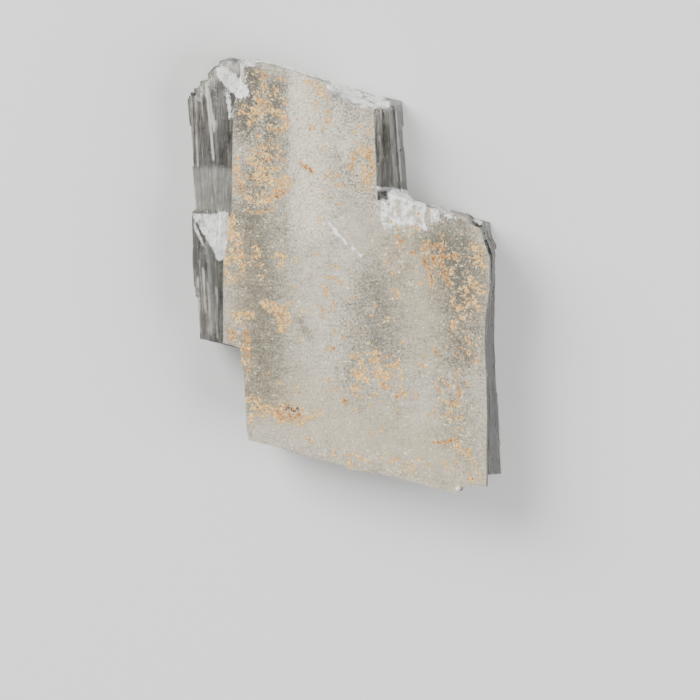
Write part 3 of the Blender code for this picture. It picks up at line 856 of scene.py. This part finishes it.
# %% [markdown]
# ## Shader maths as plain sums
#
# A node tree is easier to read as sums than as a web of wires. A Wire is one socket, and adding or
# multiplying Wires adds the Math nodes. A Recipe makes every other node from its type, its settings
# and what goes in its sockets. Blender's noise lies between 0 and 1, so a Wire can also sway to both
# sides of its middle, or keep only the thin lines where it crosses the middle.

# %% A wire
class Wire:
    """A socket that a number, a vector or a colour comes out of."""

    def __init__(self, recipe, socket):
        self.recipe = recipe
        self.socket = socket

    def maths(self, operation, *inputs):
        return self.recipe.node("ShaderNodeMath", {"operation": operation}, dict(enumerate(inputs)))

    def __add__(self, other):
        return self.maths("ADD", self, other)

    def __mul__(self, other):
        return self.maths("MULTIPLY", self, other)

    def __sub__(self, other):
        return self.maths("SUBTRACT", self, other)

    def __rsub__(self, other):
        return self.maths("SUBTRACT", other, self)

    def __abs__(self):
        return self.maths("ABSOLUTE", self)

    def most(self, other):
        return self.maths("MAXIMUM", self, other)

    def least(self, other):
        return self.maths("MINIMUM", self, other)

    def clamped(self):
        """Held between 0 and 1."""
        return self.least(1.0).most(0.0)

    def sway(self, amount):
        """Noise as a swing to both sides of nothing."""
        return (self - MIDDLE) * amount

    def lines(self, thinness):
        """Thin winding lines, where the noise crosses its middle."""
        return (1.0 - abs(self - MIDDLE) * thinness).most(0.0)

    __radd__ = __add__
    __rmul__ = __mul__


# %% A recipe of nodes
MIX_SHARE, MIX_FIRST, MIX_SECOND, MIX_COLOUR = 0, 6, 7, 2


class Recipe:
    """The nodes of one material."""

    def __init__(self, name):
        self.material = bpy.data.materials.new(name)
        self.material.use_nodes = True
        self.tree = self.material.node_tree
        self.tree.nodes.clear()

    def node(self, kind, settings, inputs, output=0):
        """Adds a node, sets it up, then fills its sockets with values or Wires."""
        made = self.tree.nodes.new(kind)
        for setting, value in settings.items():
            setattr(made, setting, value)
        for socket, value in inputs.items():
            if isinstance(value, Wire):
                self.tree.links.new(value.socket, made.inputs[socket])
            else:
                made.inputs[socket].default_value = value
        return Wire(self, made.outputs[output])

    def painted(self, layer):
        return self.node("ShaderNodeAttribute", {"attribute_name": layer}, {}, "Fac")

    def turned(self, places, turn, stretch):
        """Places turned about the upright and stretched, so that a pattern on them runs one way."""
        sockets = {"Vector": places, "Rotation": (0.0, 0.0, turn), "Scale": stretch}
        return self.node("ShaderNodeMapping", {}, sockets)

    def grain(self, places, per_mm, detail, roughness, distortion=0.0):
        """Noise between 0 and 1, with this many grains to a millimetre."""
        sockets = {"Vector": places, "Scale": per_mm, "Detail": detail, "Roughness": roughness}
        return self.node("ShaderNodeTexNoise", {}, sockets | {"Distortion": distortion}, "Fac")

    def rise(self, value, low, high):
        """0 below low, 1 above high, and a smooth rise between them."""
        sockets = {"Value": value, "From Min": low, "From Max": high}
        return self.node("ShaderNodeMapRange", {"interpolation_type": "SMOOTHSTEP"}, sockets)

    def tint(self, share, first, second):
        """The first colour at share 0 and the second at share 1."""
        sockets = {MIX_SHARE: share, MIX_FIRST: first, MIX_SECOND: second}
        return self.node("ShaderNodeMix", {"data_type": "RGBA"}, sockets, MIX_COLOUR)


# %% [markdown]
# ## Calcite, clear and frosted
#
# Clear calcite lets light through and bends it, with an index of 1.66, and takes away a little of it
# on the way. Frost is a mat of tiny cracks, which scatters the light instead. One Mix Shader chooses
# between them at each point. The stains and the bruises lie in the frosted side's colour.

#
# Noise on plain places makes grains and clouds. The same noise on places stretched along the columns
# makes fibres and streaks, and on places stretched along the rows it makes ripples.

# %% Places and directions in millimetres
ALONG_COLUMNS = (1.0, 0.07, 1.0)
ALONG_ROWS = (0.16, 1.0, 1.0)
RIPPLE_TURN = ROW_FALL * 0.5
recipe = Recipe("calcite")
coordinates = recipe.node("ShaderNodeTexCoord", {}, {}, "Object")
places = recipe.node("ShaderNodeVectorMath", {"operation": "SCALE"}, {0: coordinates, "Scale": 1.0 / MM})
strands = recipe.turned(places, -COLUMN_TILT, ALONG_COLUMNS)
ripple_places = recipe.turned(places, RIPPLE_TURN, ALONG_ROWS)

# %% [markdown]
# ### Frost
#
# Tone says how dense and how light the frost is. It starts as the painted frost, haze adds to it,
# and painted shade thins it. Soft clouds, streaks, fine etching and faint ripples then break it up.
# The streaks are strong on the clear ledges, fainter in haze and faintest on the front. Sharp edges are
# chipped and carry a painted highlight, so grains of light frost sit on them everywhere.

# %% Frost
HAZE_FROST = 0.26
HALF_PAINTED_SHADE, PAINTED_SHADE_CLEARS = 0.5, 0.55
CLOUDS = 0.36
STREAKING, FRONT_CALMS, HAZE_CALMS = 0.95, 0.78, 0.45
ETCHED_BITE, PLAIN_BITE = 2.0, 1.05
RIPPLING = 0.26
EDGE_CHIP_AND_HIGHLIGHT_GRAIN, EDGE_CHIP_AND_HIGHLIGHT_BARE = 2.0, 0.75
fine = recipe.grain(places, per_mm=2.9, detail=3.0, roughness=0.75)
soft = recipe.grain(places, per_mm=0.5, detail=3.0, roughness=0.6)
streaks = recipe.grain(strands, per_mm=4.2, detail=3.0, roughness=0.6)
ripples = recipe.grain(ripple_places, per_mm=2.2, detail=3.0, roughness=0.65, distortion=0.5)
on_front = recipe.painted("front")
haze = recipe.painted("haze")
painted_shade_share = recipe.painted("painted_shade")
tone = recipe.painted("frost") + haze * HAZE_FROST
# Painted shade thins the frost, so more of the darkened clear crystal shows.
tone = tone - (painted_shade_share - HALF_PAINTED_SHADE).most(0.0) * PAINTED_SHADE_CLEARS
tone = tone + soft.sway(CLOUDS)
tone = tone + streaks.sway(STREAKING - on_front * FRONT_CALMS - haze * HAZE_CALMS)
tone = tone + fine.sway(on_front * (recipe.painted("etched") * ETCHED_BITE + PLAIN_BITE))
tone = tone + ripples.sway(on_front) * RIPPLING
# Chipped frost and a painted highlight: the tone rises to a light line along sharp edges.
tone = tone.most(recipe.painted("edge") * (fine * EDGE_CHIP_AND_HIGHLIGHT_GRAIN - EDGE_CHIP_AND_HIGHLIGHT_BARE))

# %% [markdown]
# ### Bruises
#
# A bruise ends in fibres and flecks, never in a smooth line. So noise is added to the painted bruise,
# and only what rises above a level turns white. Where nothing is painted there is no noise either, or
# white specks would show in the clear ledges.

# %% Bruises
BRUISE_FIBRES, BRUISE_FLECKS, BRUISE_CLOUDS = 0.65, 0.9, 1.15
BRUISE_GAIN = 4.0
BRUISE_EDGE = (0.34, 0.72)
fibres = recipe.grain(strands, per_mm=2.8, detail=4.0, roughness=0.75)
cloud = recipe.grain(places, per_mm=1.0, detail=3.0, roughness=0.65)
bruise_paint = recipe.painted("bruise")
bruise_noise = fibres.sway(BRUISE_FIBRES) + fine.sway(BRUISE_FLECKS) + cloud.sway(BRUISE_CLOUDS)
bruise_level = bruise_paint + bruise_noise * (bruise_paint * BRUISE_GAIN).least(1.0)
bruise_mask = recipe.rise(bruise_level, *BRUISE_EDGE)

# %% [markdown]
# ### Crusts, granules and specks
#
# A crust is a heap of crumbs, with thin threads that run from it. It is warmer at its thick heart and
# where rust is painted, and a ring of painted shadow darkens the frost around it. Dark granules lie in
# a few heaps. Specks are short hairs, pale or orange, all over the front, with a few more near the stains.

# %% Crusts
CRUST_BODY, CRUST_CRUMBS = 0.60, 2.0
THREAD_THINNESS, THREADS_IN_CRUST, THREADS_ANYWHERE = 11.0, 0.5, 0.25
CRUST_EDGE, CRUST_HEART, CRUST_SHADOW_EDGE = (0.505, 0.585), (0.66, 1.10), (0.30, 0.49)
wander = recipe.grain(places, per_mm=1.3, detail=1.0, roughness=0.5, distortion=0.8)
crumbs = recipe.grain(places, per_mm=1.9, detail=3.0, roughness=0.6)
crust_paint = recipe.painted("crust")
threads = wander.lines(THREAD_THINNESS) * (crust_paint * THREADS_IN_CRUST + THREADS_ANYWHERE)
crust_level = crust_paint * CRUST_BODY + crumbs.sway(CRUST_CRUMBS) + threads
crust_mask = recipe.rise(crust_level, *CRUST_EDGE) * on_front
# Painted shadow: a darker ring round each crust, as if it stood proud of the face.
crust_shadow = recipe.rise(crust_level, *CRUST_SHADOW_EDGE) * on_front

# %% How warm a crust is
WARM_RUST, WARM_HEART, WARM_RUSTY_HEART = 0.35, 0.40, 0.7
WARM_BLOTCHES, WARM_GRIT = 1.3, 1.5
grit = recipe.grain(places, per_mm=3.0, detail=2.0, roughness=0.6)
blotches = recipe.grain(places, per_mm=0.9, detail=2.0, roughness=0.5)
rust_paint = recipe.painted("rust")
heart = recipe.rise(crust_level, *CRUST_HEART)
warmth = rust_paint * WARM_RUST + heart * (rust_paint * WARM_RUSTY_HEART + WARM_HEART)
warmth = (warmth + blotches.sway(WARM_BLOTCHES) + grit.sway(WARM_GRIT)).clamped()

# %% Granules and specks
GRANULE_PAINT, GRANULE_EDGE = 0.19, (0.68, 0.74)
HAIR_THINNESS, HAIR_EDGE = 12.0, (0.40, 0.60)
SPECKS_BY_STAINS, SPECK_CLOUDS, SPECK_EDGE = 0.07, 0.35, (0.60, 0.66)
granules = recipe.grain(places, per_mm=3.6, detail=2.0, roughness=0.6)
granule_level = recipe.painted("umber") * GRANULE_PAINT + granules
umber_mask = recipe.rise(granule_level, *GRANULE_EDGE) * on_front
hairs = recipe.grain(places, per_mm=2.3, detail=1.0, roughness=0.5, distortion=0.8)
scatter = recipe.grain(places, per_mm=1.7, detail=2.0, roughness=0.6)
scatter = scatter + recipe.painted("stained") * SPECKS_BY_STAINS + soft.sway(SPECK_CLOUDS)
short_hairs = hairs.lines(HAIR_THINNESS) * recipe.rise(scatter, *SPECK_EDGE)
specks = recipe.rise(short_hairs, *HAIR_EDGE) * on_front

# %% [markdown]
# ### Colours
#
# The colours go on one over the other, as a painter glazes: frost, warmer ground, the halo and the
# painted shadow round each crust, specks, bruises, crusts and last the granules.

# %% Colours
FROST_LIGHT, FROST_SHADE = (0.72, 0.655, 0.52, 1.0), (0.25, 0.225, 0.165, 1.0)
COOL_FROST, COOL_SHADE = (0.60, 0.575, 0.505, 1.0), (0.225, 0.217, 0.185, 1.0)
SIDE_SHADE = (0.52, 0.51, 0.475, 1.0)
WARM_FROST = (0.42, 0.345, 0.205, 1.0)
STAIN_HALO, CRUST_SHADOW_COLOUR = (0.42, 0.30, 0.14, 1.0), (0.20, 0.18, 0.13, 1.0)
SPECK_COLOUR = (0.95, 0.80, 0.50, 1.0)
BRUISE_COLOUR, BRUISE_SHADE = (0.94, 0.94, 0.91, 1.0), (0.46, 0.455, 0.42, 1.0)
CREAM_COLOUR, ORANGE_COLOUR = (1.0, 0.75, 0.285, 1.0), (0.66, 0.25, 0.03, 1.0)
RUST_COLOUR, RUST_SHADE = (0.44, 0.16, 0.025, 1.0), (0.15, 0.06, 0.015, 1.0)
UMBER_COLOUR = (0.07, 0.032, 0.010, 1.0)

# %% Colour of the frost
TONE_RANGE = (0.15, 1.05)
WARM_SHARE, HALO_SHARE, CRUST_SHADOW_SHARE = 0.85, 0.30, 0.40
on_side = recipe.painted("side")
frost_light = recipe.tint(on_front, COOL_FROST, FROST_LIGHT)
# Side frost is lighter, except where painted shade keeps it dark.
cool_shade = recipe.tint(on_side * (1.0 - painted_shade_share), COOL_SHADE, SIDE_SHADE)
frost_shade = recipe.tint(on_front, cool_shade, FROST_SHADE)
colour = recipe.tint(recipe.rise(tone, *TONE_RANGE), frost_shade, frost_light)
colour = recipe.tint(recipe.painted("warmer") * WARM_SHARE, colour, WARM_FROST)
colour = recipe.tint(crust_paint * HALO_SHARE, colour, STAIN_HALO)
# The painted shadow round each crust.
colour = recipe.tint(crust_shadow * CRUST_SHADOW_SHARE, colour, CRUST_SHADOW_COLOUR)

# %% Colour of the specks, the bruises, the crusts and the granules
SPECK_BLOTCHES = (0.52, 0.62)
WHITE_FIBRES, WHITE_CLOUDS, WHITE_RANGE = 0.5, 0.5, (0.37, 0.54)
CRUST_GRAINS = (0.40, 0.56)
speck_colour = recipe.tint(recipe.rise(blotches, *SPECK_BLOTCHES), SPECK_COLOUR, ORANGE_COLOUR)
colour = recipe.tint(specks, colour, speck_colour)
whiteness = recipe.rise(fibres * WHITE_FIBRES + cloud * WHITE_CLOUDS, *WHITE_RANGE)
colour = recipe.tint(bruise_mask, colour, recipe.tint(whiteness, BRUISE_SHADE, BRUISE_COLOUR))
grains = recipe.rise(grit, *CRUST_GRAINS)
pale_crust = recipe.tint(grains, ORANGE_COLOUR, CREAM_COLOUR)
dark_crust = recipe.tint(grains, RUST_SHADE, RUST_COLOUR)
colour = recipe.tint(crust_mask, colour, recipe.tint(warmth, pale_crust, dark_crust))
colour = recipe.tint(umber_mask, colour, UMBER_COLOUR)

# %% [markdown]
# ### How opaque each point is
#
# Dense frost hides the crystal under it, and thin frost lets it show. Crusts, granules and specks
# cover it wholly, and bruises nearly so.

# %% How opaque each point is
OPAQUE_TONE, OPAQUE_FRONT, OPAQUE_BRUISE = 1.6, 0.30, 0.95
cover = crust_mask.most(umber_mask).most(bruise_mask * OPAQUE_BRUISE).most(specks)
opaque_share = (tone * OPAQUE_TONE + on_front * OPAQUE_FRONT).most(cover).clamped()

# %% [markdown]
# ### Relief finer than the mesh
#
# Grains and fibres too small for the mesh go in as bump. The frost gets all of them. The clear
# crystal gets only streaks and soft waves, because a grainy glass would look like stone.

# %% Bump
BUMP_HEIGHT = 0.15 * MM
FROST_BUMP, CLEAR_BUMP = 0.8, 0.35
FINE_RELIEF, FIBRE_RELIEF, CRUST_RELIEF, STREAK_RELIEF, SOFT_RELIEF = 0.9, 0.8, 0.5, 0.35, 0.6


def bumped(relief, strength):
    """The normal of a surface with this relief."""
    sockets = {"Strength": strength, "Distance": BUMP_HEIGHT, "Height": relief}
    return recipe.node("ShaderNodeBump", {}, sockets)


streak_relief = streaks * STREAK_RELIEF
grain_relief = fine * FINE_RELIEF + fibres * bruise_mask * FIBRE_RELIEF + crust_mask * CRUST_RELIEF
frosted_surface = bumped(grain_relief + streak_relief, FROST_BUMP)
glassy_surface = bumped(streak_relief + soft * SOFT_RELIEF, CLEAR_BUMP)

# %% [markdown]
# ### Clear crystal and frost in one material
#
# Transmission, index and absorption are plain values, as in any glass. The clear side's colour only
# carries painted shade, which darkens the clear crystal, and adds the rainbow film. The split side
# faces are stacks of thin sheets, so they are satin rather than polished.

# %% Clear crystal and frost in one material
IOR = 1.658
CLEAR = (1.0, 1.0, 1.0, 1.0)
PAINTED_SHADE_COLOUR = (0.03, 0.0285, 0.024, 1.0)
ABSORPTION_COLOUR = (0.87, 0.85, 0.81, 1.0)
ABSORPTION_DENSITY = 70.0
POLISHED, SATIN, MATT = 0.03, 0.19, 0.62
RAINBOW_TURNS, RAINBOW_RICHNESS, RAINBOW_VALUE, FILM_SHARE = 5.0, 0.45, 1.0, 0.75
hue = recipe.grain(strands, per_mm=1.1, detail=1.0, roughness=0.5) * RAINBOW_TURNS
rainbow_sockets = {0: hue, 1: RAINBOW_RICHNESS, 2: RAINBOW_VALUE}
rainbow = recipe.node("ShaderNodeCombineColor", {"mode": "HSV"}, rainbow_sockets)
# Painted shade darkens the clear crystal's colour.
clear_colour = recipe.tint(painted_shade_share, CLEAR, PAINTED_SHADE_COLOUR)
clear_colour = recipe.tint(recipe.painted("film") * FILM_SHARE, clear_colour, rainbow)
clear = recipe.node(
    "ShaderNodeBsdfPrincipled",
    {},
    {
        "Base Color": clear_colour,
        "Roughness": on_side * SATIN + POLISHED,
        "IOR": IOR,
        "Transmission Weight": 1.0,
        "Normal": glassy_surface,
    },
)
frosted = recipe.node(
    "ShaderNodeBsdfPrincipled",
    {},
    {"Base Color": colour, "Roughness": MATT, "IOR": IOR, "Normal": frosted_surface},
)
mixed = recipe.node("ShaderNodeMixShader", {}, {0: opaque_share, 1: clear, 2: frosted})
depth_tint = recipe.node(
    "ShaderNodeVolumeAbsorption", {}, {"Color": ABSORPTION_COLOUR, "Density": ABSORPTION_DENSITY}
)
output = recipe.tree.nodes.new("ShaderNodeOutputMaterial")
recipe.tree.links.new(mixed.socket, output.inputs["Surface"])
recipe.tree.links.new(depth_tint.socket, output.inputs["Volume"])
mesh.materials.clear()
mesh.materials.append(recipe.material)
print(f"calcite: {len(recipe.tree.nodes)} nodes")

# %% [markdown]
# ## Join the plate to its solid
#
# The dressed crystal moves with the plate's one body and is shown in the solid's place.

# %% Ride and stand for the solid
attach(crystal, "root")
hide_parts(PLATE)
